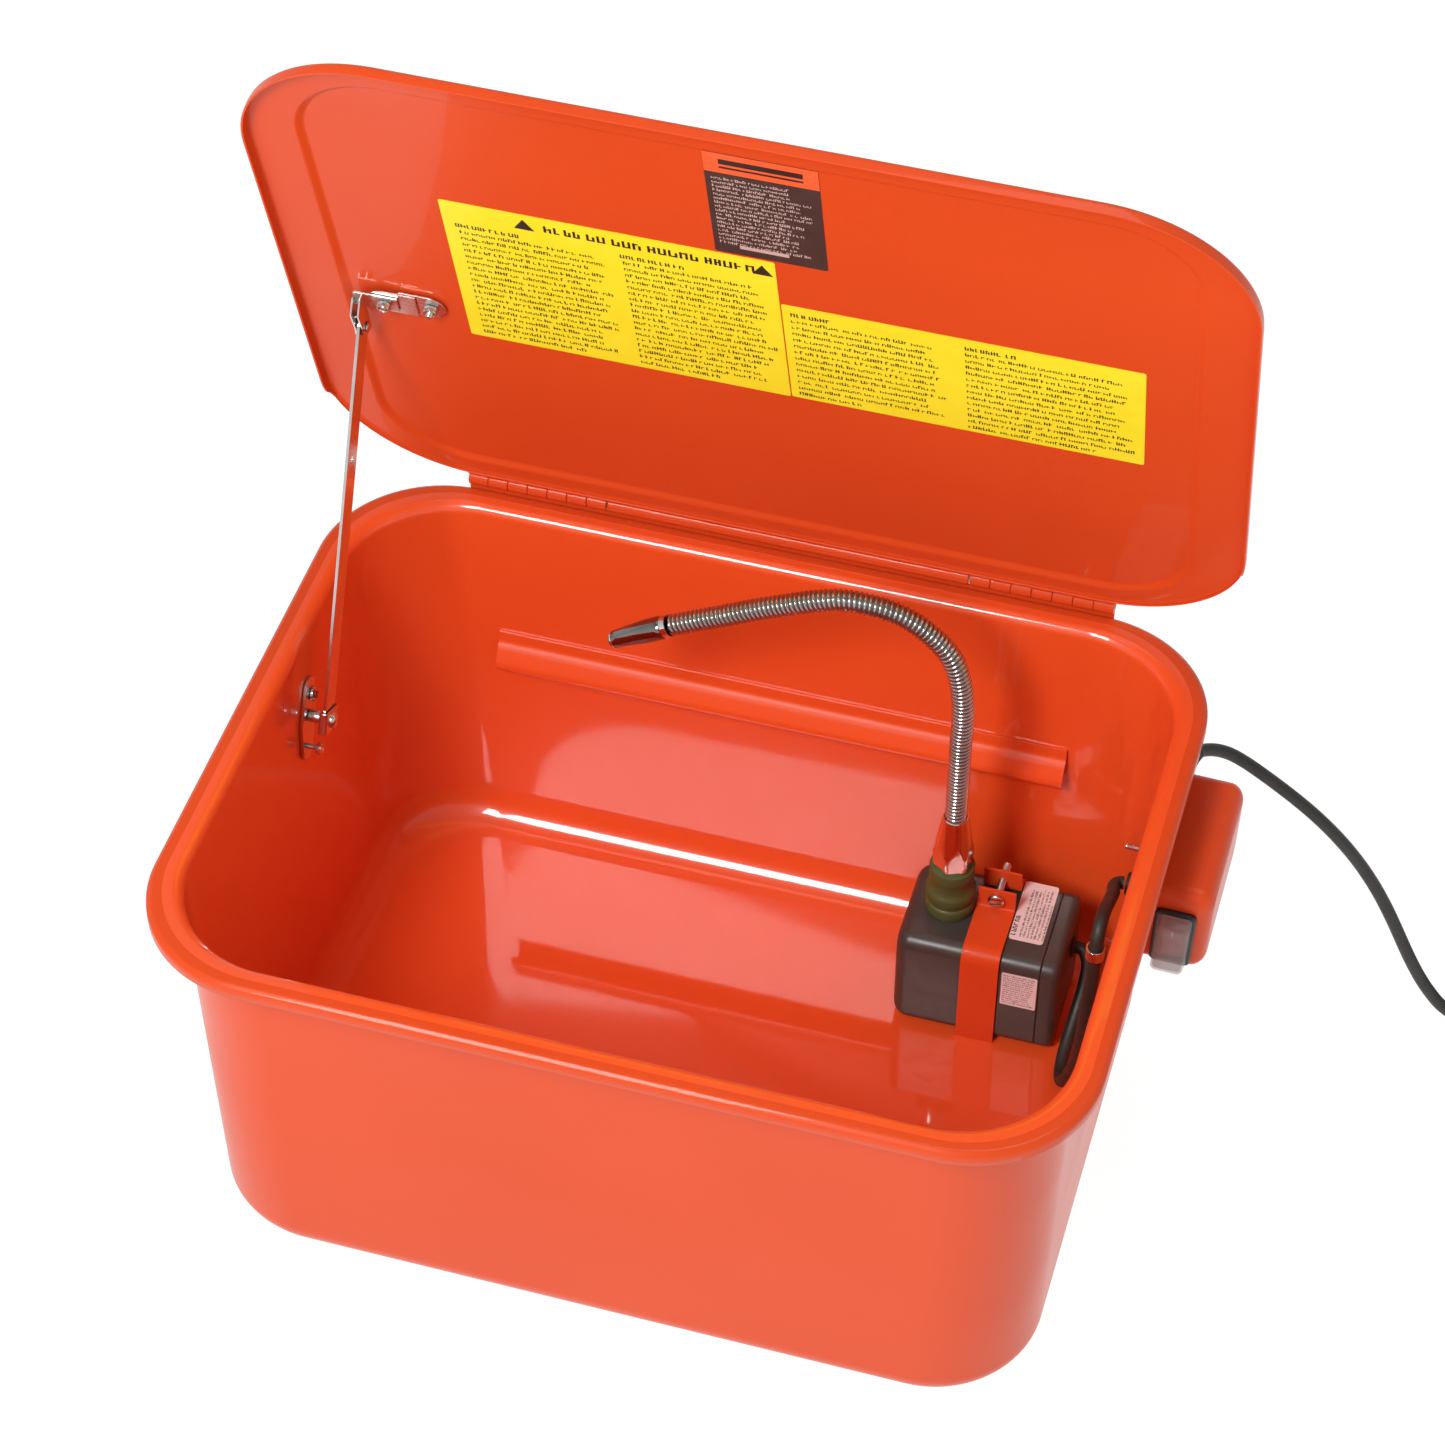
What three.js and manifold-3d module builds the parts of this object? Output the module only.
// Bench-top parts washer tank: a pressed steel tank with a hinged lid, a submersible pump with a
// flexible spout, a stay with a fusible link that lets the lid fall shut in a fire, a switch box
// and a mains lead. Millimetres, +Z up, +X along the long side, +Y towards the hinge.
// The origin is the middle of the tank's flat base. The lid is modelled open.
import * as THREE from 'three';
import { mergeVertices } from 'three/addons/utils/BufferGeometryUtils.js';
import ManifoldModule from 'manifold-3d';

const wasm = await ManifoldModule();
wasm.setup();

// ---- Driving dimensions ----
const GAP = 0.3; // clearance between pieces that touch
const SHEET = 1.2; // thickness of the pressed steel

const TANK = { halfX: 240, halfY: 183.9, height: 236, corner: 66.6, fillet: 22 };
const RIM = { lip: 8, lipRadius: 3, wallRadius: 5, wallInset: 15, baseInset: 20, cornerLoss: 0.5 };
const WALL_FOOT = TANK.fillet; // height where the straight part of the wall starts
const WALL_HEAD = 229; // height where it ends
const WALL_TILT = Math.atan((RIM.baseInset - RIM.wallInset) / (WALL_HEAD - WALL_FOOT));

const HINGE = { y: 185.5, z: 241.45, radius: 4.5, bore: 1.8, pin: 1.5, pitch: 11.1, inner: 100, knuckles: 7 };
const LID_OPEN = THREE.MathUtils.degToRad(72.3); // how far the lid stands open
const LID = {
  halfX: 245.2, front: 378.65, rear: 12.2, corner: 75.3, edgeDrop: 3.4, skirt: 9.4,
  notchAtPanel: 77.5, notchAtTip: 67,
};
const PANEL = { halfX: 219.5, rear: 22.5, front: 362, corner: 50, rise: 2.4, slope: 5 };

// The stay: its top pivot and its guide are equally far from the hinge axis, so the bar always
// passes through the guide and turns by half of the lid's angle.
const STAY = { x: -210, alongLid: 155, offLid: 10, guideZ: 187.5, width: 14, thick: 1.6, tail: 5 };
const STAY_RADIUS = Math.hypot(STAY.alongLid, STAY.offLid);

const PUMP = {
  left: 92.8, seam: 173.4, right: 183.5, front: 77, back: 139, foot: 1.5, top: 69, round: 8,
  motorZ: 34, cableY: 118, cableZ: 46,
};
const OUTLET = { x: 115.7, y: 108.7 };
const NUT = { foot: 103, head: 116.7, acrossFlats: 19.4, coneTop: 140.7, coneRadius: 7.1 };
const HOSE = { radius: 6, rootFoot: 118, pivotZ: 170 };
const STRAP = {
  left: 130, right: 151.2, thick: 1.5, earFront: 112.5, earRear: 127, earTop: 84.5, screwZ: 77.5,
};

const BOX = { z: 177.5, front: 30, back: 119, bottom: 150, top: 205, depth: 40.5, round: 9, wall: 1.6 };
const SWITCH = { x: 22.8, z: -2.5, width: 21, height: 38, frame: 2.6, rise: 2.4 };
const CORD = { radius: 3.5, coilX: 446, coilY: 201.2, coilMean: 38.5, coilTurns: 3, coilLayers: 2 };

// ---- Materials ----
const paint = () => new THREE.MeshStandardMaterial({ color: 0xd9411a, roughness: 0.28, metalness: 0.1 });
const zinc = () => new THREE.MeshStandardMaterial({ color: 0xb9b7b2, roughness: 0.3, metalness: 0.9 });
const chrome = () => new THREE.MeshStandardMaterial({ color: 0xd8d8da, roughness: 0.12, metalness: 1 });
const pumpPlastic = () => new THREE.MeshStandardMaterial({ color: 0x4a3c36, roughness: 0.5, metalness: 0 });
const greenPlastic = () => new THREE.MeshStandardMaterial({ color: 0x3e4a22, roughness: 0.45, metalness: 0 });
const blackPlastic = () => new THREE.MeshStandardMaterial({ color: 0x1c1b1a, roughness: 0.45, metalness: 0 });
const blackRubber = () => new THREE.MeshStandardMaterial({ color: 0x24221e, roughness: 0.65, metalness: 0 });
const clearPlastic = () => new THREE.MeshStandardMaterial({
  color: 0xcfc6c0, roughness: 0.15, metalness: 0, transparent: true, opacity: 0.5,
});
const rockerRed = () => new THREE.MeshStandardMaterial({ color: 0xb8321c, roughness: 0.35, metalness: 0 });
const copper = () => new THREE.MeshStandardMaterial({ color: 0xa8683c, roughness: 0.4, metalness: 0.9 });
const brass = () => new THREE.MeshStandardMaterial({ color: 0xb08d4c, roughness: 0.35, metalness: 0.9 });
const yellowLabel = () => new THREE.MeshStandardMaterial({ color: 0xf3cf1e, roughness: 0.5, metalness: 0 });
const darkLabel = () => new THREE.MeshStandardMaterial({ color: 0x3a3230, roughness: 0.4, metalness: 0.2 });
const whiteLabel = () => new THREE.MeshStandardMaterial({ color: 0xe3d6d4, roughness: 0.55, metalness: 0 });

// ---- Geometry helpers ----
const model = new THREE.Group();
const UP = new THREE.Vector3(0, 0, 1);

function add(name, geometry, material, parent = model) {
  const mesh = new THREE.Mesh(geometry, material());
  mesh.name = name;
  parent.add(mesh);
  return mesh;
}

function group(parent, x, y, z, turnX = 0, turnY = 0, turnZ = 0) {
  const made = new THREE.Group();
  made.position.set(x, y, z);
  made.rotation.set(turnX, turnY, turnZ);
  parent.add(made);
  return made;
}

function moved(geometry, x, y, z, turnX = 0, turnY = 0, turnZ = 0) {
  const place = new THREE.Matrix4().makeRotationFromEuler(new THREE.Euler(turnX, turnY, turnZ));
  place.setPosition(x, y, z);
  return geometry.clone().applyMatrix4(place);
}

function solidOf(geometry) {
  const bare = geometry.clone();
  bare.deleteAttribute('normal');
  bare.deleteAttribute('uv');
  const merged = mergeVertices(bare, 1e-4);
  const vertProperties = Float32Array.from(merged.attributes.position.array);
  const triVerts = Uint32Array.from(merged.index.array);
  return new wasm.Manifold(new wasm.Mesh({ numProp: 3, vertProperties, triVerts }));
}

function geometryOf(solid) {
  const mesh = solid.getMesh();
  const geometry = new THREE.BufferGeometry();
  geometry.setAttribute('position', new THREE.BufferAttribute(Float32Array.from(mesh.vertProperties), 3));
  geometry.setIndex(new THREE.BufferAttribute(Uint32Array.from(mesh.triVerts), 1));
  geometry.computeVertexNormals();
  return geometry;
}

function cut(geometry, ...tools) {
  return geometryOf(tools.reduce((solid, tool) => solid.subtract(solidOf(tool)), solidOf(geometry)));
}

function join(...geometries) {
  return geometryOf(geometries.map(solidOf).reduce((all, next) => all.add(next)));
}

function box(x0, x1, y0, y1, z0, z1) {
  const made = new THREE.BoxGeometry(x1 - x0, y1 - y0, z1 - z0);
  return moved(made, (x0 + x1) / 2, (y0 + y1) / 2, (z0 + z1) / 2);
}

// A rod from one end to the other along X, Y or Z, with the other two coordinates in order.
function rod(axis, from, to, p, q, radius, sides = 16) {
  const made = new THREE.CylinderGeometry(radius, radius, Math.abs(to - from), sides);
  const middle = (from + to) / 2;
  if (axis === 'x') return moved(made, middle, p, q, 0, 0, Math.PI / 2);
  if (axis === 'y') return moved(made, p, middle, q);
  return moved(made, p, q, middle, Math.PI / 2);
}

// A turned piece: [radius, distance] pairs from a closed or axis-to-axis outline, along +Z.
function turned(outline, sides = 24) {
  const points = outline.map(([r, d]) => new THREE.Vector2(r, d));
  return moved(new THREE.LatheGeometry(points, sides), 0, 0, 0, Math.PI / 2);
}

function ring(inner, outer, from, to, sides = 24) {
  return turned([[inner, from], [outer, from], [outer, to], [inner, to], [inner, from]], sides);
}

// Corner points of a rounded rectangle in the plane of two axes, counter-clockwise.
function roundRect(halfA, halfB, radius, steps = 6, midA = 0, midB = 0) {
  const points = [];
  const corners = [[1, 1, 0], [-1, 1, 1], [-1, -1, 2], [1, -1, 3]];
  for (const [signA, signB, quarter] of corners) {
    for (let i = 0; i <= steps; i += 1) {
      const angle = (quarter + i / steps) * Math.PI / 2;
      points.push([
        midA + signA * (halfA - radius) + radius * Math.cos(angle),
        midB + signB * (halfB - radius) + radius * Math.sin(angle),
      ]);
    }
  }
  return points;
}

// A closed body through rings of equal point count, with a flat fan over its first and last ring.
function loft(rings) {
  const count = rings[0].length;
  const position = rings.flat(2);
  const index = [];
  const middle = (points) => [0, 1, 2].map((k) => points.reduce((sum, p) => sum + p[k], 0) / count);
  const first = position.length / 3;
  position.push(...middle(rings[0]), ...middle(rings.at(-1)));
  for (let r = 0; r + 1 < rings.length; r += 1) {
    for (let i = 0; i < count; i += 1) {
      const a = r * count + i;
      const b = r * count + (i + 1) % count;
      index.push(a, b, b + count, a, b + count, a + count);
    }
  }
  const top = (rings.length - 1) * count;
  for (let i = 0; i < count; i += 1) {
    const j = (i + 1) % count;
    index.push(first, j, i, first + 1, top + i, top + j);
  }
  const geometry = new THREE.BufferGeometry();
  geometry.setAttribute('position', new THREE.Float32BufferAttribute(position, 3));
  geometry.setIndex(index);
  geometry.computeVertexNormals();
  return geometry;
}

// An outline in (a, b) pushed through a thickness along the third axis. normal is 'x' or 'z':
// 'x' takes (a, b) as (y, z), 'z' takes it as (x, y).
function plate(outline, normal, from, to, holes = []) {
  const shape = new THREE.Shape(outline.map(([a, b]) => new THREE.Vector2(a, b)));
  for (const hole of holes) shape.holes.push(new THREE.Path(hole.map(([a, b]) => new THREE.Vector2(a, b))));
  const made = new THREE.ExtrudeGeometry(shape, { depth: to - from, bevelEnabled: false, steps: 1 });
  if (normal === 'z') return moved(made, 0, 0, from);
  const turn = new THREE.Matrix4().makeBasis(
    new THREE.Vector3(0, 1, 0), new THREE.Vector3(0, 0, 1), new THREE.Vector3(1, 0, 0),
  );
  return made.applyMatrix4(turn).translate(from, 0, 0);
}

function circle(a, b, radius, steps = 16) {
  return Array.from({ length: steps }, (_, i) => {
    const angle = i * 2 * Math.PI / steps;
    return [a + radius * Math.cos(angle), b + radius * Math.sin(angle)];
  });
}

// The outline of a strip that follows a line in a plane, half its thickness to either side.
function strip(line, thick) {
  const side = (sign) => line.map(([a, b], i) => {
    const before = line[Math.max(i - 1, 0)];
    const after = line[Math.min(i + 1, line.length - 1)];
    const along = new THREE.Vector2(after[0] - before[0], after[1] - before[1]).normalize();
    return [a - sign * along.y * thick / 2, b + sign * along.x * thick / 2];
  });
  return [...side(-1), ...side(1).reverse()];
}

// Points on an arc in a plane, angles in degrees.
function arc(a, b, radius, from, to, steps) {
  return Array.from({ length: steps + 1 }, (_, i) => {
    const angle = THREE.MathUtils.degToRad(from + (to - from) * i / steps);
    return [a + radius * Math.cos(angle), b + radius * Math.sin(angle)];
  });
}

// A round bar along a smooth line through hand-chosen points.
function roundBar(points, radius, sides, steps) {
  const path = new THREE.CatmullRomCurve3(points.map((p) => new THREE.Vector3(...p)), false, 'centripetal');
  const section = new THREE.Shape(circle(0, 0, radius, sides).map(([a, b]) => new THREE.Vector2(a, b)));
  return new THREE.ExtrudeGeometry(section, { steps, bevelEnabled: false, extrudePath: path });
}

function hexagon(acrossFlats, from, to) {
  const corner = acrossFlats / Math.sqrt(3);
  const made = new THREE.CylinderGeometry(corner, corner, to - from, 6);
  return moved(made, 0, 0, (from + to) / 2, Math.PI / 2);
}

// A hexagon nut with its hole, standing on z = 0 in its own frame.
function nut(acrossFlats, height, bore) {
  return cut(hexagon(acrossFlats, 0, height), rod('z', -1, height + 1, 0, 0, bore, 12));
}

// A pan-head screw along +Z: its head's top is at headTop, the shank ends at tip.
function screw(headRadius, headHeight, shankRadius, headTop, tip, slot = true) {
  const foot = headTop - headHeight;
  const body = turned([
    [0, tip], [shankRadius - 0.4, tip], [shankRadius, tip + 0.6], [shankRadius, foot], [headRadius, foot],
    [headRadius, foot + headHeight * 0.45], [headRadius * 0.72, headTop - 0.15], [0, headTop],
  ], 12);
  if (!slot) return body;
  return cut(body, box(-headRadius - 1, headRadius + 1, -0.5, 0.5, headTop - 0.9, headTop + 1));
}

// ---- Tank ----
// How far the outer wall stands in from the rim's edge at a height.
function wallInset(z) {
  return RIM.baseInset - (z - WALL_FOOT) * Math.tan(WALL_TILT);
}

function tankRing(inset, z) {
  return roundRect(TANK.halfX - inset, TANK.halfY - inset, TANK.corner - RIM.cornerLoss * inset)
    .map(([x, y]) => [x, y, z]);
}

function tankShell() {
  const base = RIM.baseInset;
  const r = TANK.fillet;
  const top = TANK.height;
  const bend = RIM.wallRadius;
  const outside = [
    ...arc(base + r, r, r, 270, 180, 4),
    [wallInset(WALL_HEAD), WALL_HEAD],
    ...arc(RIM.wallInset - bend, WALL_HEAD + 0.6, bend, 0, 90, 2),
    [RIM.lipRadius + 1, top - SHEET],
    [SHEET, top - RIM.lipRadius],
    [SHEET, top - RIM.lip],
  ];
  const inside = [
    [0, top - RIM.lip],
    ...arc(RIM.lipRadius, top - RIM.lipRadius, RIM.lipRadius, 180, 90, 2),
    ...arc(RIM.wallInset - bend, WALL_HEAD + 0.6, bend + SHEET, 90, 0, 3),
    [wallInset(WALL_FOOT) + SHEET, WALL_FOOT],
    ...arc(base + r, r, r - SHEET, 180, 270, 4),
  ];
  const rings = [...outside, ...inside].map(([inset, z]) => tankRing(inset, z));
  return loft(rings);
}

// Frames that lie in the two end walls: local +X is the wall's outward normal on the right and its
// inward normal on the left, local +Z runs up the wall.
const rightWall = group(model, TANK.halfX - wallInset(BOX.z), 0, BOX.z, 0, WALL_TILT);
const leftWall = group(model, -(TANK.halfX - wallInset(STAY.guideZ)), 0, STAY.guideZ, 0, -WALL_TILT);

const BRACKET = { y: 39.9, screwY: 46, screwZ: 10, studY: 34, studZ: -18 };
const CABLE = { glandY: 60, glandZ: -6, clipX: 211.8, clipY: 3.6, clipZ: 179.5, screwY: 12.3, hold: 3.5 };
const BOX_SCREW = { y: 77, z: 3 };

function wallHole(frame, y, z, radius) {
  const drill = rod('x', -6, 6, y, z, radius);
  frame.updateMatrix();
  return drill.applyMatrix4(frame.matrix);
}

add('tank_shell', cut(
  tankShell(),
  wallHole(leftWall, BRACKET.screwY, BRACKET.screwZ, 2.2),
  wallHole(leftWall, BRACKET.studY, BRACKET.studZ, 2.2),
  wallHole(rightWall, BOX_SCREW.y, BOX_SCREW.z, 2.4),
  wallHole(rightWall, CABLE.glandY, CABLE.glandZ, 5.4),
  wallHole(rightWall, CABLE.screwY, CABLE.clipZ - BOX.z, 2.2),
), paint);

// A bent strip along the rear wall, open at its ends, that small parts drain on.
const LEDGE = {
  left: -158, right: 163,
  line: [[164.7, 148], [164.2, 141.5], [161.6, 138.6], [156.9, 130.6], [156.4, 127.6], [158.6, 124.4]],
};
add('rear_ledge', plate(strip(LEDGE.line, SHEET), 'x', LEDGE.left, LEDGE.right), paint);

// ---- Hinge ----
const HINGE_LENGTH = HINGE.knuckles * HINGE.pitch;
const sorted = (a, b) => (a < b ? [a, b] : [b, a]);

// One leaf of a butt hinge along X. Its knuckles are every second one, and its plate steps back
// from the other leaf's. leafPlate gives the plate from x0 to x1, near the axis where own is true.
function hingeLeaf(side, firstKnuckle, leafPlate) {
  const edge = (i) => side * (HINGE.inner + i * HINGE.pitch);
  const pieces = [];
  for (let i = 0; i < HINGE.knuckles; i += 1) {
    const own = i % 2 === firstKnuckle;
    const [x0, x1] = sorted(edge(i), edge(i + 1));
    if (own) pieces.push(rod('x', x0 + GAP / 2, x1 - GAP / 2, 0, 0, HINGE.radius, 12));
    pieces.push(leafPlate(own ? x0 + GAP / 2 : x0 - 1, own ? x1 - GAP / 2 : x1 + 1, own));
  }
  const [low, high] = sorted(edge(0), edge(HINGE.knuckles));
  return cut(
    join(...pieces),
    box(low - 3, low + GAP / 2, -30, 30, -30, 30),
    box(high - GAP / 2, high + 3, -30, 30, -30, 30),
    rod('x', low - 1, high + 1, 0, 0, HINGE.bore, 12),
  );
}

const lidFrame = group(model, 0, HINGE.y, HINGE.z, -LID_OPEN);
const hingeFrame = group(model, 0, HINGE.y, HINGE.z);
const lidPlateFoot = SHEET + GAP - LID.edgeDrop; // lies on the lid's edge strip
const lidPlateEdge = -21.5; // stops short of the raised panel
const CLEAR_OF_KNUCKLE = -5.2;
const lidLeafPlate = (x0, x1, own) => (
  box(x0, x1, lidPlateEdge, own ? -3.2 : CLEAR_OF_KNUCKLE, lidPlateFoot, lidPlateFoot + SHEET)
);
const rearFace = TANK.halfY - HINGE.y + GAP;
const tankLeafPlate = (x0, x1, own) => (
  box(x0, x1, rearFace, rearFace + SHEET, TANK.height - RIM.lip - HINGE.z, own ? -2.6 : CLEAR_OF_KNUCKLE)
);

for (const [label, side] of [['left', -1], ['right', 1]]) {
  const ends = sorted(side * HINGE.inner, side * (HINGE.inner + HINGE_LENGTH));
  // The tank's leaf runs on below the rolled edge to the middle, where the two leaves nearly meet.
  const [stripLow, stripHigh] = sorted(side * GAP, side * (HINGE.inner + 1));
  const tankLeaf = join(hingeLeaf(side, 0, tankLeafPlate), tankLeafPlate(stripLow, stripHigh, false));
  add(`hinge_${label}_tank_leaf`, tankLeaf, paint, hingeFrame);
  add(`hinge_${label}_lid_leaf`, hingeLeaf(side, 1, lidLeafPlate), paint, lidFrame);
  add(`hinge_${label}_pin`, rod('x', ends[0] + 0.6, ends[1] - 0.6, 0, 0, HINGE.pin), zinc, hingeFrame);
}

// The lid's rolled edge between the two hinges.
add('lid_rolled_edge', join(
  rod('x', -HINGE.inner + 0.6, HINGE.inner - 0.6, 0, 0, HINGE.radius),
  box(-HINGE.inner + 0.6, HINGE.inner - 0.6, lidPlateEdge, -2.6, lidPlateFoot, lidPlateFoot + SHEET),
), paint, lidFrame);

// ---- Lid, in the frame of the closed lid: y forwards is negative, z down is negative ----
function lidRing(halfX, rear, front, corner, z) {
  return roundRect(halfX, (front - rear) / 2, corner, 6, 0, -(front + rear) / 2).map(([x, y]) => [x, y, z]);
}

function lidOutline(inset, z) {
  return lidRing(LID.halfX - inset, LID.rear + inset, LID.front - inset, LID.corner - inset, z);
}

function panelRing(slope, z) {
  return lidRing(PANEL.halfX - slope, PANEL.rear + slope, PANEL.front - slope, PANEL.corner - slope, z);
}

function lidShell() {
  const low = -LID.edgeDrop; // underside of the edge strip
  const high = low + SHEET;
  const skirt = -LID.skirt;
  const round = 3;
  const rings = [
    panelRing(PANEL.slope, low + PANEL.rise),
    panelRing(0, low),
    lidOutline(round + 0.4, low),
    lidOutline(SHEET, high - round),
    lidOutline(SHEET, skirt),
    lidOutline(0, skirt),
    lidOutline(0, high - round),
    lidOutline(round * 0.3, high - round * 0.3),
    lidOutline(round, high),
    panelRing(0, high),
    panelRing(PANEL.slope, high + PANEL.rise),
  ];
  return loft(rings);
}

const skirtNotch = plate([
  [10, -LID.edgeDrop - 0.9], [-LID.notchAtPanel, -LID.edgeDrop - 0.9],
  [-LID.notchAtTip, -LID.skirt - 1], [10, -LID.skirt - 1],
], 'x', -LID.halfX - 5, LID.halfX + 5);
const underPanel = PANEL.rise - LID.edgeDrop; // underside of the raised panel
const LINK = { left: -206, right: -165, y: -173.5, boltLeft: -196.5, boltRight: -172.5, half: 8.5 };

add('lid_shell', cut(
  lidShell(),
  skirtNotch,
  rod('z', -12, 4, LINK.boltRight, LINK.y, 2.3),
), paint, lidFrame);

function label(name, x0, x1, from, to, material) {
  const outline = roundRect((x1 - x0) / 2, (to - from) / 2, 1.5, 2, (x0 + x1) / 2, -(from + to) / 2);
  add(name, plate(outline, 'z', underPanel - GAP - 0.3, underPanel - GAP), material, lidFrame);
}
label('lid_label_left', -155, 12.2, 153, 273.5, yellowLabel);
label('lid_label_right', 12.9, 191, 153.5, 238, yellowLabel);
label('lid_plate_centre', -16.5, 38.5, 275, 357, darkLabel);

// ---- Fusible link and stay ----
// One half of the soldered link: round at one end, square where it laps the other half.
function linkHalf(roundEnd, lapEnd, z0, z1) {
  const toRight = roundEnd > lapEnd;
  const centre = roundEnd + (toRight ? -LINK.half : LINK.half);
  const start = toRight ? -90 : 90;
  const bend = arc(centre, LINK.y, LINK.half, start, start + 180, 8);
  const lap = [[lapEnd, bend.at(-1)[1]], [lapEnd, bend[0][1]]];
  const bolt = toRight ? LINK.boltRight : LINK.boltLeft;
  return plate([...bend, ...lap], 'z', z0, z1, [circle(bolt, LINK.y, 2.3, 12).reverse()]);
}

const linkTop = underPanel - 1.4;
const linkThick = 0.9;
const linkFoot = linkTop - linkThick;
add('fusible_link_lid_half', linkHalf(LINK.right, -189, linkFoot, linkTop), brass, lidFrame);
const stayHalfTop = linkFoot - GAP;
const stayHalfFoot = stayHalfTop - linkThick;
add('fusible_link_stay_half', linkHalf(LINK.left, -180, stayHalfFoot, stayHalfTop), brass, lidFrame);

const lidBoltFrame = group(lidFrame, LINK.boltRight, LINK.y, 0);
const boltHeadTop = underPanel + SHEET + GAP + 2.2;
const SMALL_NUT = { flats: 6.6, height: 3.2, bore: 2.2 };
const smallNut = () => nut(SMALL_NUT.flats, SMALL_NUT.height, SMALL_NUT.bore);
add('link_lid_bolt', screw(4.2, 2.2, 1.9, boltHeadTop, stayHalfTop - 5.4), zinc, lidBoltFrame);
const lidNut = add('link_lid_nut', smallNut(), zinc, lidBoltFrame);
lidNut.position.z = stayHalfTop - SMALL_NUT.height;

// The clevis: a web under the stay half's bolt and two cheeks around the bar.
const clevisTop = stayHalfFoot - GAP;
const CHEEK = { thick: 1, reach: 5.3, inner: 1.4 };
function clevis() {
  const web = plate([
    [STAY.x - CHEEK.inner - CHEEK.thick, -179], [-189.5, -179], [-189.5, -168],
    [STAY.x - CHEEK.inner - CHEEK.thick, -168],
  ], 'z', clevisTop - CHEEK.thick, clevisTop);
  const cheek = [
    [-178.6, clevisTop], [-166, clevisTop], ...arc(-STAY.alongLid, -STAY.offLid, CHEEK.reach, 60, -120, 8),
    [-172, -STAY.offLid - 5.6], [-178.6, -STAY.offLid + 1],
  ];
  const left = STAY.x - CHEEK.inner;
  const right = STAY.x + CHEEK.inner;
  const cheeks = [left - CHEEK.thick, right].map((x) => plate(cheek, 'x', x, x + CHEEK.thick));
  return cut(
    join(web, ...cheeks),
    rod('x', STAY.x - 6, STAY.x + 6, -STAY.alongLid, -STAY.offLid, 1.8),
    rod('z', clevisTop - 3, clevisTop + 2, LINK.boltLeft, LINK.y, 2.3),
  );
}
add('stay_clevis', clevis(), zinc, lidFrame);

const stayBoltFrame = group(lidFrame, LINK.boltLeft, LINK.y, 0);
const stayBolt = screw(3.6, 0.8, 1.9, 0, -6.6, false);
add('link_stay_bolt', moved(stayBolt, 0, 0, stayHalfTop + GAP + 0.8), zinc, stayBoltFrame);
const stayNut = add('link_stay_nut', smallNut(), zinc, stayBoltFrame);
stayNut.position.z = clevisTop - CHEEK.thick - GAP - SMALL_NUT.height;

add('stay_pin', join(
  rod('x', STAY.x - 3.1, STAY.x + 3.1, -STAY.alongLid, -STAY.offLid, 1.5),
  rod('x', STAY.x + 2.7, STAY.x + 3.7, -STAY.alongLid, -STAY.offLid, 2.8),
  rod('x', STAY.x - 3.7, STAY.x - 2.7, -STAY.alongLid, -STAY.offLid, 2.8),
), zinc, lidFrame);

const guide = new THREE.Vector2(
  HINGE.y - Math.sqrt(STAY_RADIUS ** 2 - (HINGE.z - STAY.guideZ) ** 2),
  STAY.guideZ,
);
const pivot = new THREE.Vector2(
  HINGE.y - STAY.alongLid * Math.cos(LID_OPEN) - STAY.offLid * Math.sin(LID_OPEN),
  HINGE.z + STAY.alongLid * Math.sin(LID_OPEN) - STAY.offLid * Math.cos(LID_OPEN),
);
const stayLength = pivot.distanceTo(guide);
const stayLean = -Math.asin((pivot.x - guide.x) / stayLength); // turn about +X from upright

const stayFrame = group(model, STAY.x, pivot.x, pivot.y, stayLean);
function stayBar() {
  const half = STAY.width / 2;
  const foot = -stayLength - STAY.tail;
  const outline = [...arc(0, 0, half, 0, 180, 8), ...arc(0, foot + half, half, 180, 360, 8)];
  const holes = [circle(0, 0, 1.8, 12).reverse(), circle(0, -72, 2, 12).reverse()];
  return plate(outline, 'x', -STAY.thick / 2, STAY.thick / 2, holes);
}
add('stay_bar', stayBar(), zinc, stayFrame);

const guideFrame = group(model, STAY.x, guide.x, guide.y, stayLean);
const guideCap = turned([[0, -1], [4.6, -1], [4.6, 1.2], [3.4, 2.6], [0, 2.9]], 16);
add('stay_guide', cut(
  join(box(-2.6, 2.6, -9.6, 9.6, -6, 6), moved(guideCap, 2.6, 0, 0, 0, Math.PI / 2)),
  box(-1.2, 1.2, -7.5, 7.5, -7, 7),
  rod('x', -3, 0, 0, 0, 1.8),
), zinc, guideFrame);

// The stay's wall bracket, in the left wall's frame. Its surface starts at the inner face.
const inner = SHEET + GAP;
const bracketOutline = [
  ...arc(BRACKET.screwY, BRACKET.screwZ + 3, 7, 20, 160, 5),
  [BRACKET.y - 10, 0], ...arc(BRACKET.studY, BRACKET.studZ - 1, 7, 190, 330, 5), [BRACKET.y + 9, -4],
];
add('stay_bracket', cut(
  plate([...bracketOutline].reverse(), 'x', inner, inner + 2),
  rod('x', 0, 8, BRACKET.screwY, BRACKET.screwZ, 2.1),
  rod('x', 0, 8, BRACKET.studY, BRACKET.studZ, 2.1),
  rod('x', 0, 8, guide.x, 0, 2.1),
), zinc, leftWall);

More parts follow.
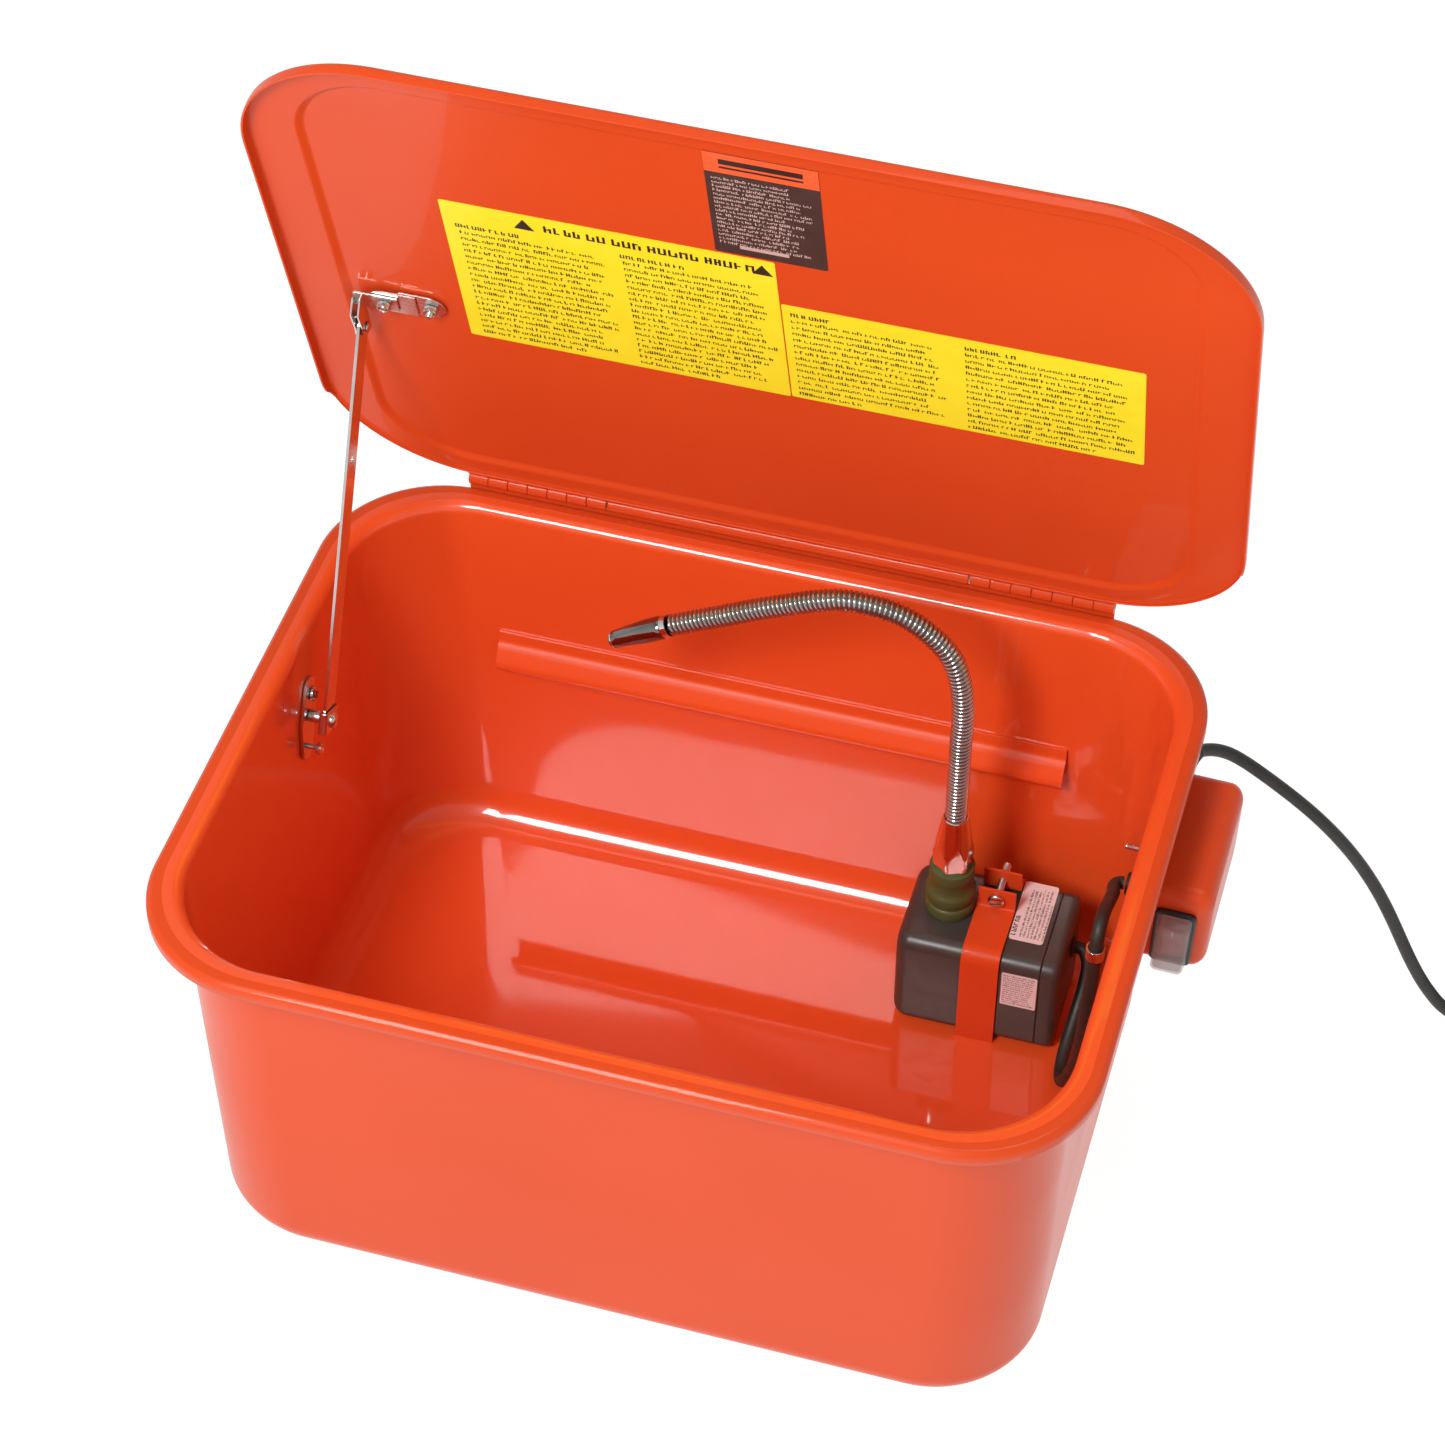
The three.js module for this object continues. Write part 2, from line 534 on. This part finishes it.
function alongX(geometry) {
  return moved(geometry, 0, 0, 0, 0, Math.PI / 2);
}
add('stay_bracket_screw', moved(
  alongX(screw(4, 2.6, 1.8, 0, -8, true)), inner + 2 + GAP + 2.6, BRACKET.screwY, BRACKET.screwZ,
), zinc, leftWall);
const STUD_LENGTH = 14; // stops short of the bar
add('stay_stop_stud', moved(join(
  alongX(screw(3.6, 2.4, 1.6, 0, -STUD_LENGTH, false)),
  alongX(moved(hexagon(6.4, 0, 3), 0, 0, -STUD_LENGTH)),
), -GAP - 2.4, BRACKET.studY, BRACKET.studZ, 0, 0, Math.PI), zinc, leftWall);
const swivelFrom = -(TANK.halfX - wallInset(STAY.guideZ)) + inner + 2 + 1.6;
add('stay_swivel_pin', join(
  rod('x', swivelFrom - 3.4, STAY.x - 1.4, guide.x, guide.y, 1.5),
  rod('x', swivelFrom - 1.2, STAY.x - 2.6 - GAP, guide.x, guide.y, 3.6),
), zinc);

// ---- Pump ----
function pumpRing(inset, x) {
  const halfY = (PUMP.back - PUMP.front) / 2;
  const halfZ = (PUMP.top - PUMP.foot) / 2;
  const outline = roundRect(
    halfY - inset, halfZ - inset, PUMP.round, 4, PUMP.front + halfY, PUMP.foot + halfZ,
  );
  return outline.map(([y, z]) => [x, y, z]);
}

function pumpHousing() {
  const r = PUMP.round;
  const nose = arc(PUMP.left + r, 0, r, 180, 90, 4).map(([x, b]) => pumpRing(Math.max(r - b, 0) * 0.98, x));
  const outer = loft([...nose, pumpRing(0, PUMP.seam)]);
  const motorBay = box(112, PUMP.seam + 1, PUMP.front + 4, PUMP.back - 4, PUMP.foot + 4, PUMP.top - 4);
  const volute = rod('x', 98, 113, OUTLET.y, PUMP.motorZ, 22, 20);
  const inletSlots = [-12, -4, 4, 12].map((dz) => (
    box(PUMP.left - 2, 99, 94, 124, PUMP.motorZ + dz - 1.5, PUMP.motorZ + dz + 1.5)
  ));
  return cut(outer, motorBay, volute, rod('z', 50, PUMP.top + 2, OUTLET.x - 6, OUTLET.y, 6.5), ...inletSlots);
}
add('pump_housing', pumpHousing(), pumpPlastic);

function pumpCap() {
  const r = 4;
  const edge = arc(PUMP.right - r, 0, r, 90, 0, 3).map(([x, b]) => pumpRing(r - b, x));
  const wall = 4.5;
  const spigot = box(
    PUMP.seam - 3, PUMP.seam + 2, PUMP.front + wall, PUMP.back - wall, PUMP.foot + wall, PUMP.top - wall,
  );
  return cut(
    join(loft([pumpRing(0, PUMP.seam + GAP), ...edge]), spigot),
    rod('x', 160, 190, PUMP.cableY, PUMP.cableZ, 3.9),
  );
}
add('pump_end_cap', pumpCap(), pumpPlastic);

add('pump_stator', cut(
  box(118, 166, PUMP.front + 7, PUMP.back - 7, PUMP.foot + 7, 62),
  rod('x', 100, 180, OUTLET.y, PUMP.motorZ, 13.5, 16),
), copper);
add('pump_rotor', join(
  rod('x', 119, 164, OUTLET.y, PUMP.motorZ, 12, 16),
  rod('x', 108.5, 169, OUTLET.y, PUMP.motorZ, 2.5, 12),
), zinc);

function impeller() {
  const hub = ring(2.9, 6, 101, 108, 12);
  const disc = ring(2.9, 17, 106.5, 108, 16);
  const vane = box(5, 16.5, -0.8, 0.8, 101, 107);
  const vanes = Array.from({ length: 6 }, (_, i) => moved(vane, 0, 0, 0, 0, 0, i * Math.PI / 3));
  const cap = rod('z', 100, 102, 0, 0, 6, 12);
  return moved(join(hub, disc, cap, ...vanes), 0, OUTLET.y, PUMP.motorZ, 0, Math.PI / 2);
}
add('pump_impeller', impeller(), blackPlastic);

function pumpLabel(name, geometry) {
  add(name, geometry, whiteLabel);
}
pumpLabel('pump_label_top', box(151.8, 170.6, 94, 137, PUMP.top + 0.3, PUMP.top + 0.6));
pumpLabel('pump_label_front', box(153, 172.6, PUMP.front - 0.6, PUMP.front - 0.3, 34.4, 60.5));

// ---- Strap over the pump: two bent strips welded to the floor and drawn together by a screw ----
function strapHalf(front) {
  const s = STRAP.thick / 2;
  const face = front ? PUMP.front - GAP - s : PUMP.back + GAP + s;
  const ear = front ? STRAP.earFront : STRAP.earRear;
  const roof = PUMP.top + GAP + s + 0.4;
  const bend = 8;
  const way = front ? 1 : -1;
  const over = arc(face + way * bend, roof - bend, bend, front ? 180 : 0, 90, 5);
  const earBend = arc(ear - way * 2.5, roof + 2.5, 2.5, 270, front ? 360 : 180, 3);
  const band = strip([[face, SHEET + GAP], ...over, ...earBend, [ear, STRAP.earTop]], STRAP.thick);
  return cut(
    plate(front ? band : band.reverse(), 'x', STRAP.left, STRAP.right),
    rod('y', ear - 4, ear + 4, (STRAP.left + STRAP.right) / 2, STRAP.screwZ, 2.7),
  );
}
add('strap_front', strapHalf(true), paint);
add('strap_rear', strapHalf(false), paint);

const strapMid = (STRAP.left + STRAP.right) / 2;
const strapScrewFrame = group(model, strapMid, STRAP.earFront - 0.75 - GAP, STRAP.screwZ, Math.PI / 2);
add('strap_screw', screw(4.7, 3.2, 2.2, 3.2, -27), zinc, strapScrewFrame);
const strapNut = add('strap_nut', nut(7.4, 3.2, 2.5), zinc, strapScrewFrame);
strapNut.position.z = -(STRAP.earRear - STRAP.earFront) - 1.5 - 2 * GAP - 3.2;

// ---- Outlet fitting, coupling and flexible spout ----
const outletFrame = group(model, OUTLET.x, OUTLET.y, 0);
const fittingFoot = PUMP.top + GAP;
add('outlet_fitting', turned([
  [5.5, fittingFoot], [13.2, fittingFoot], [13.7, fittingFoot + 2], [13.7, 76], [13, 77.6], [13, 80],
  [13.6, 81.2], [13.6, 85], [12.2, 87], [11.6, 90], [11.6, 95], [12.4, 96.4], [12.4, NUT.foot - GAP],
  [5.5, NUT.foot - GAP], [5.5, fittingFoot],
], 20), greenPlastic, outletFrame);

const cone = turned([
  [0, NUT.head - 2], [10.3, NUT.head - 2], [10.3, NUT.head + 1], [NUT.coneRadius, NUT.coneTop],
  [0, NUT.coneTop],
], 24);
add('coupling_nut', cut(
  join(hexagon(NUT.acrossFlats, NUT.foot, NUT.head), cone),
  rod('z', NUT.foot - 1, NUT.coneTop + 1, 0, 0, HOSE.radius + GAP, 20),
), chrome, outletFrame);

const rootHead = HOSE.pivotZ - HOSE.radius - GAP;
add('spout_root', rod('z', HOSE.rootFoot, rootHead, 0, 0, HOSE.radius, 12), chrome, outletFrame);

const spoutPoints = [
  [115.7, 170], [115.6, 196.6], [115.8, 216], [113.5, 239.5], [107.4, 258], [95.8, 271], [81.8, 279.6],
  [66, 283], [47, 282], [12.9, 267.6], [-14.9, 253], [-41.5, 239.2],
].map(([x, z]) => [x, OUTLET.y, z]);
add('spout_hose', join(
  roundBar(spoutPoints, HOSE.radius, 12, 40),
  moved(new THREE.SphereGeometry(HOSE.radius, 12, 6), OUTLET.x, OUTLET.y, HOSE.pivotZ),
), chrome);

const NOZZLE = { x: -42, z: 238.9, dip: THREE.MathUtils.degToRad(32), length: 37.5 };
const nozzleFrame = group(model, NOZZLE.x, OUTLET.y, NOZZLE.z, 0, -Math.PI / 2 - NOZZLE.dip);
add('spout_nozzle', turned([
  [3, GAP], [6.2, GAP], [6.2, 4], [5.6, 5], [6.4, 8], [6.4, 16], [5.2, NOZZLE.length - 4],
  [4.4, NOZZLE.length], [3, NOZZLE.length], [3, GAP],
], 20), chrome, nozzleFrame);

// ---- Pump cable, inside the tank ----
const cablePoints = [
  [185.6, 118, 46], [189.6, 117.5, 45.6], [193.2, 113.8, 41], [194, 107, 33], [193, 97, 23], [191.8, 85, 14],
  [191.2, 73, 8], [192, 62, 6.4], [194.5, 52, 12], [198, 43, 26], [202.5, 33, 48], [206, 22, 75],
  [208.5, 12, 105], [210.5, 5, 135], [211.6, 3.2, 160], [211.8, 3.6, 179.5], [211.8, 5.6, 187.5],
  [211.8, 11, 192.8], [211.8, 20, 191.8], [211.8, 34, 184.5], [211.6, 48, 176.5], [210.8, 55.4, 172.9],
  [212.2, 59.2, 171.7], [214.9, 59.9, 171.5],
];
add('pump_cable', roundBar(cablePoints, CORD.radius, 8, 54), blackRubber);
add('pump_cable_boot', moved(turned([
  [0, -3.4], [3.5, -3.4], [3.5, 0.3], [6, 0.3], [5, 1.4], [0, 1.4],
], 12), PUMP.right, PUMP.cableY, PUMP.cableZ, 0, Math.PI / 2), blackRubber);
const glandFrame = group(rightWall, 0, CABLE.glandY, CABLE.glandZ, 0, -Math.PI / 2);
add('cable_gland', turned([
  [0, -9], [5, -9], [5, SHEET + GAP], [7.5, SHEET + GAP], [7.5, 4.4], [6.4, 6], [5.6, 7.6], [0, 7.6],
], 16), blackPlastic, glandFrame);

// A clip that stands the cable off the wall, with its screw beside the cable.
add('cable_clip', cut(
  join(
    moved(rod('z', -CABLE.hold, CABLE.hold, 0, 0, 5), CABLE.clipX, CABLE.clipY, CABLE.clipZ),
    box(CABLE.clipX - 1.2, CABLE.clipX + 1.2, CABLE.clipY + 3, CABLE.screwY + 4.4,
      CABLE.clipZ - CABLE.hold, CABLE.clipZ + CABLE.hold),
  ),
  roundBar(cablePoints.slice(13, 19), CORD.radius + GAP, 10, 20),
  rod('x', CABLE.clipX - 3, CABLE.clipX + 3, CABLE.screwY, CABLE.clipZ, 2),
), zinc);
const clipScrewFrame = group(model, CABLE.clipX - 1.2 - GAP, CABLE.screwY, CABLE.clipZ, 0, -Math.PI / 2);
add('cable_clip_screw', screw(4, 2.6, 1.6, 2.6, -16), zinc, clipScrewFrame);

// ---- Switch box on the right wall ----
const boxMidY = (BOX.front + BOX.back) / 2;
const boxMidZ = (BOX.bottom + BOX.top) / 2 - BOX.z;
function boxRing(inset, x) {
  const halfY = (BOX.back - BOX.front) / 2 - inset;
  const halfZ = (BOX.top - BOX.bottom) / 2 - inset;
  return roundRect(halfY, halfZ, BOX.round - inset * 0.6, 5, boxMidY, boxMidZ).map(([y, z]) => [x, y, z]);
}

const gasketOuter = boxRing(-0.6, 0).map(([, y, z]) => [y, z]);
const gasketInner = boxRing(3, 0).map(([, y, z]) => [y, z]).reverse();
add('box_gasket', plate(gasketOuter, 'x', GAP, 1.8, [gasketInner]), blackRubber, rightWall);

const boxFoot = 1.8 + GAP;
const CORD_EXIT = { x: 6.9, z: 17.5 };
function switchBox() {
  const r = 8;
  const w = BOX.wall;
  const outer = arc(BOX.depth - r, 0, r, 90, 0, 4).map(([x, b]) => boxRing(r - b, x));
  const cavity = arc(BOX.depth - r, 0, r - w, 90, 0, 3).map(([x, b]) => boxRing(w + (r - w - b), x));
  return cut(
    loft([boxRing(0, boxFoot), ...outer]),
    loft([boxRing(w, boxFoot - 2), ...cavity]),
    box(SWITCH.x - 8.4, SWITCH.x + 8.4, BOX.front - 3, BOX.front + 6, SWITCH.z - 16, SWITCH.z + 16),
    rod('y', BOX.back - 6, BOX.back + 3, CORD_EXIT.x, CORD_EXIT.z, 3.8),
  );
}
add('switch_box', switchBox(), paint, rightWall);
add('switch_box_bridge', cut(
  box(boxFoot, boxFoot + 1.5, 70, 84, boxMidZ - 25.6, boxMidZ + 25.6),
  rod('x', 0, 6, BOX_SCREW.y, BOX_SCREW.z, 2.4),
), zinc, rightWall);
add('box_screw', moved(
  alongX(screw(4.2, 2.6, 2, 0, -19)), boxFoot + 1.5 + GAP + 2.6, BOX_SCREW.y, BOX_SCREW.z,
), zinc, rightWall);
add('box_nut', moved(
  alongX(nut(7, 3.2, 2.3)), -SHEET - GAP - 3.2, BOX_SCREW.y, BOX_SCREW.z,
), zinc, rightWall);

// The rocker switch, its frame on the box's front face, and its clear splash cover.
const face = BOX.front - GAP;
const faceOutline = (inset, corner) => (
  roundRect(SWITCH.width / 2 - inset, SWITCH.height / 2 - inset, corner, 3, SWITCH.x, SWITCH.z)
);
function facePlate(outline, near, far, holes = []) {
  const made = plate(outline.map(([x, z]) => [x, -z]).reverse(), 'z', 0, far - near, holes);
  return moved(made, 0, far, 0, Math.PI / 2);
}
add('switch_bezel', cut(
  join(
    facePlate(faceOutline(0, 3), face - SWITCH.rise, face),
    box(SWITCH.x - 7.8, SWITCH.x + 7.8, face - 1, face + 22, SWITCH.z - 15.4, SWITCH.z + 15.4),
  ),
  box(SWITCH.x - 5.4, SWITCH.x + 5.4, face - 5, face + 12, SWITCH.z - 14, SWITCH.z + 14),
), blackPlastic, rightWall);

const ROCKER = { y: face + 3.6, halfX: 5, tilt: THREE.MathUtils.degToRad(10) };
const rockerFrame = group(rightWall, SWITCH.x, ROCKER.y, SWITCH.z, ROCKER.tilt);
const rockerSide = [
  [-3, -12.2], [0.5, -11.4], [2.4, -3], [2.4, 3], [0.5, 11.4], [-3, 12.2], [-7.2, 9.2], [-5.6, 0],
  [-7.2, -9.2],
];
add('rocker', plate(rockerSide, 'x', GAP - ROCKER.halfX, ROCKER.halfX - GAP), rockerRed, rockerFrame);

const coverNear = face - SWITCH.rise - GAP;
const coverRings = (inset, depth) => (
  roundRect(SWITCH.width / 2 - 1.6 - inset, SWITCH.height / 2 - 1.6 - inset, 2.6, 3, SWITCH.x, SWITCH.z)
    .map(([x, z]) => [x, coverNear - depth, z])
);
add('switch_cover', cut(
  loft([coverRings(0, 0), coverRings(0.6, 7.6), coverRings(1.8, 8.8)]),
  loft([coverRings(1, -1), coverRings(1.6, 7), coverRings(2.4, 7.8)]),
), clearPlastic, rightWall);

// ---- Mains lead ----
// The sleeve leaves the box's rear face and curves outwards with the lead.
const sleevePoints = [
  [231.4, 119.4, 195.5], [231.6, 126, 195.4], [232.7, 133.5, 195.1], [234.9, 140.3, 194.4],
];
function sleeve() {
  const points = sleevePoints.map((p) => new THREE.Vector3(...p));
  const path = new THREE.CatmullRomCurve3(points, false, 'centripetal');
  const steps = 9;
  const rings = [];
  for (let i = 0; i <= steps; i += 1) {
    const t = i / steps;
    const along = path.getTangentAt(t);
    const side = new THREE.Vector3().crossVectors(UP, along).normalize();
    const over = new THREE.Vector3().crossVectors(along, side);
    const radius = (i % 2 ? 0 : -0.35) + 5.3 - 0.9 * t;
    rings.push(circle(0, 0, radius, 12).map(([a, b]) => (
      path.getPointAt(t).addScaledVector(side, a).addScaledVector(over, b).toArray()
    )));
  }
  return loft(rings);
}
add('lead_sleeve', sleeve(), blackRubber);

const leadPoints = [
  [235.2, 140.9, 194.3], [237.6, 145.9, 193.2], [242.8, 151.4, 189.6], [249.6, 155, 184],
  [257.4, 156.9, 177.4], [265.4, 157.8, 171.2], [273.4, 158.2, 165.3], [281.4, 158.4, 159.6],
  [289.4, 158.5, 153.7], [303, 158.5, 142.4], [317, 158.2, 128.4], [330, 157.8, 112.2],
  [341.5, 157.2, 94], [351.5, 156.6, 74.4], [361, 156, 54], [371.5, 155.6, 35], [383.5, 155.4, 19],
  [396, 155.4, 9.4], [407, 155.5, 5.2], [417.6, 155.6, 4],
];
add('lead', roundBar(leadPoints, CORD.radius, 8, 44), blackRubber);

const coilHalf = CORD.coilTurns * CORD.radius + 0.6;
const coilTop = CORD.coilLayers * 2 * CORD.radius + 0.4;
add('lead_coil', moved(
  ring(CORD.coilMean - coilHalf, CORD.coilMean + coilHalf, 0.1, coilTop, 32), CORD.coilX, CORD.coilY, 0,
), blackRubber);

function plug() {
  const body = loft([
    roundRect(4, 4, 3.9, 3), roundRect(6, 5.4, 3.9, 3), roundRect(13, 8, 4, 3), roundRect(14, 8.6, 4, 3),
    roundRect(14, 8.6, 4, 3),
  ].map((outline, i) => outline.map(([y, z]) => [[0, 12, 18, 24, 36][i], y, z + 8.7])));
  const blades = [-6.35, 6.35].map((y) => box(35, 53, y - 0.8, y + 0.8, 8.7 - 4.5, 8.7 + 1.9));
  return join(body, ...blades, rod('x', 35, 55, 0, 13.2, 2.3, 12));
}
const plugFrame = group(model, CORD.coilX + 15, CORD.coilY + 37, coilTop + GAP, 0, 0, Math.PI);
add('lead_plug', plug(), blackPlastic, plugFrame);

export default model;
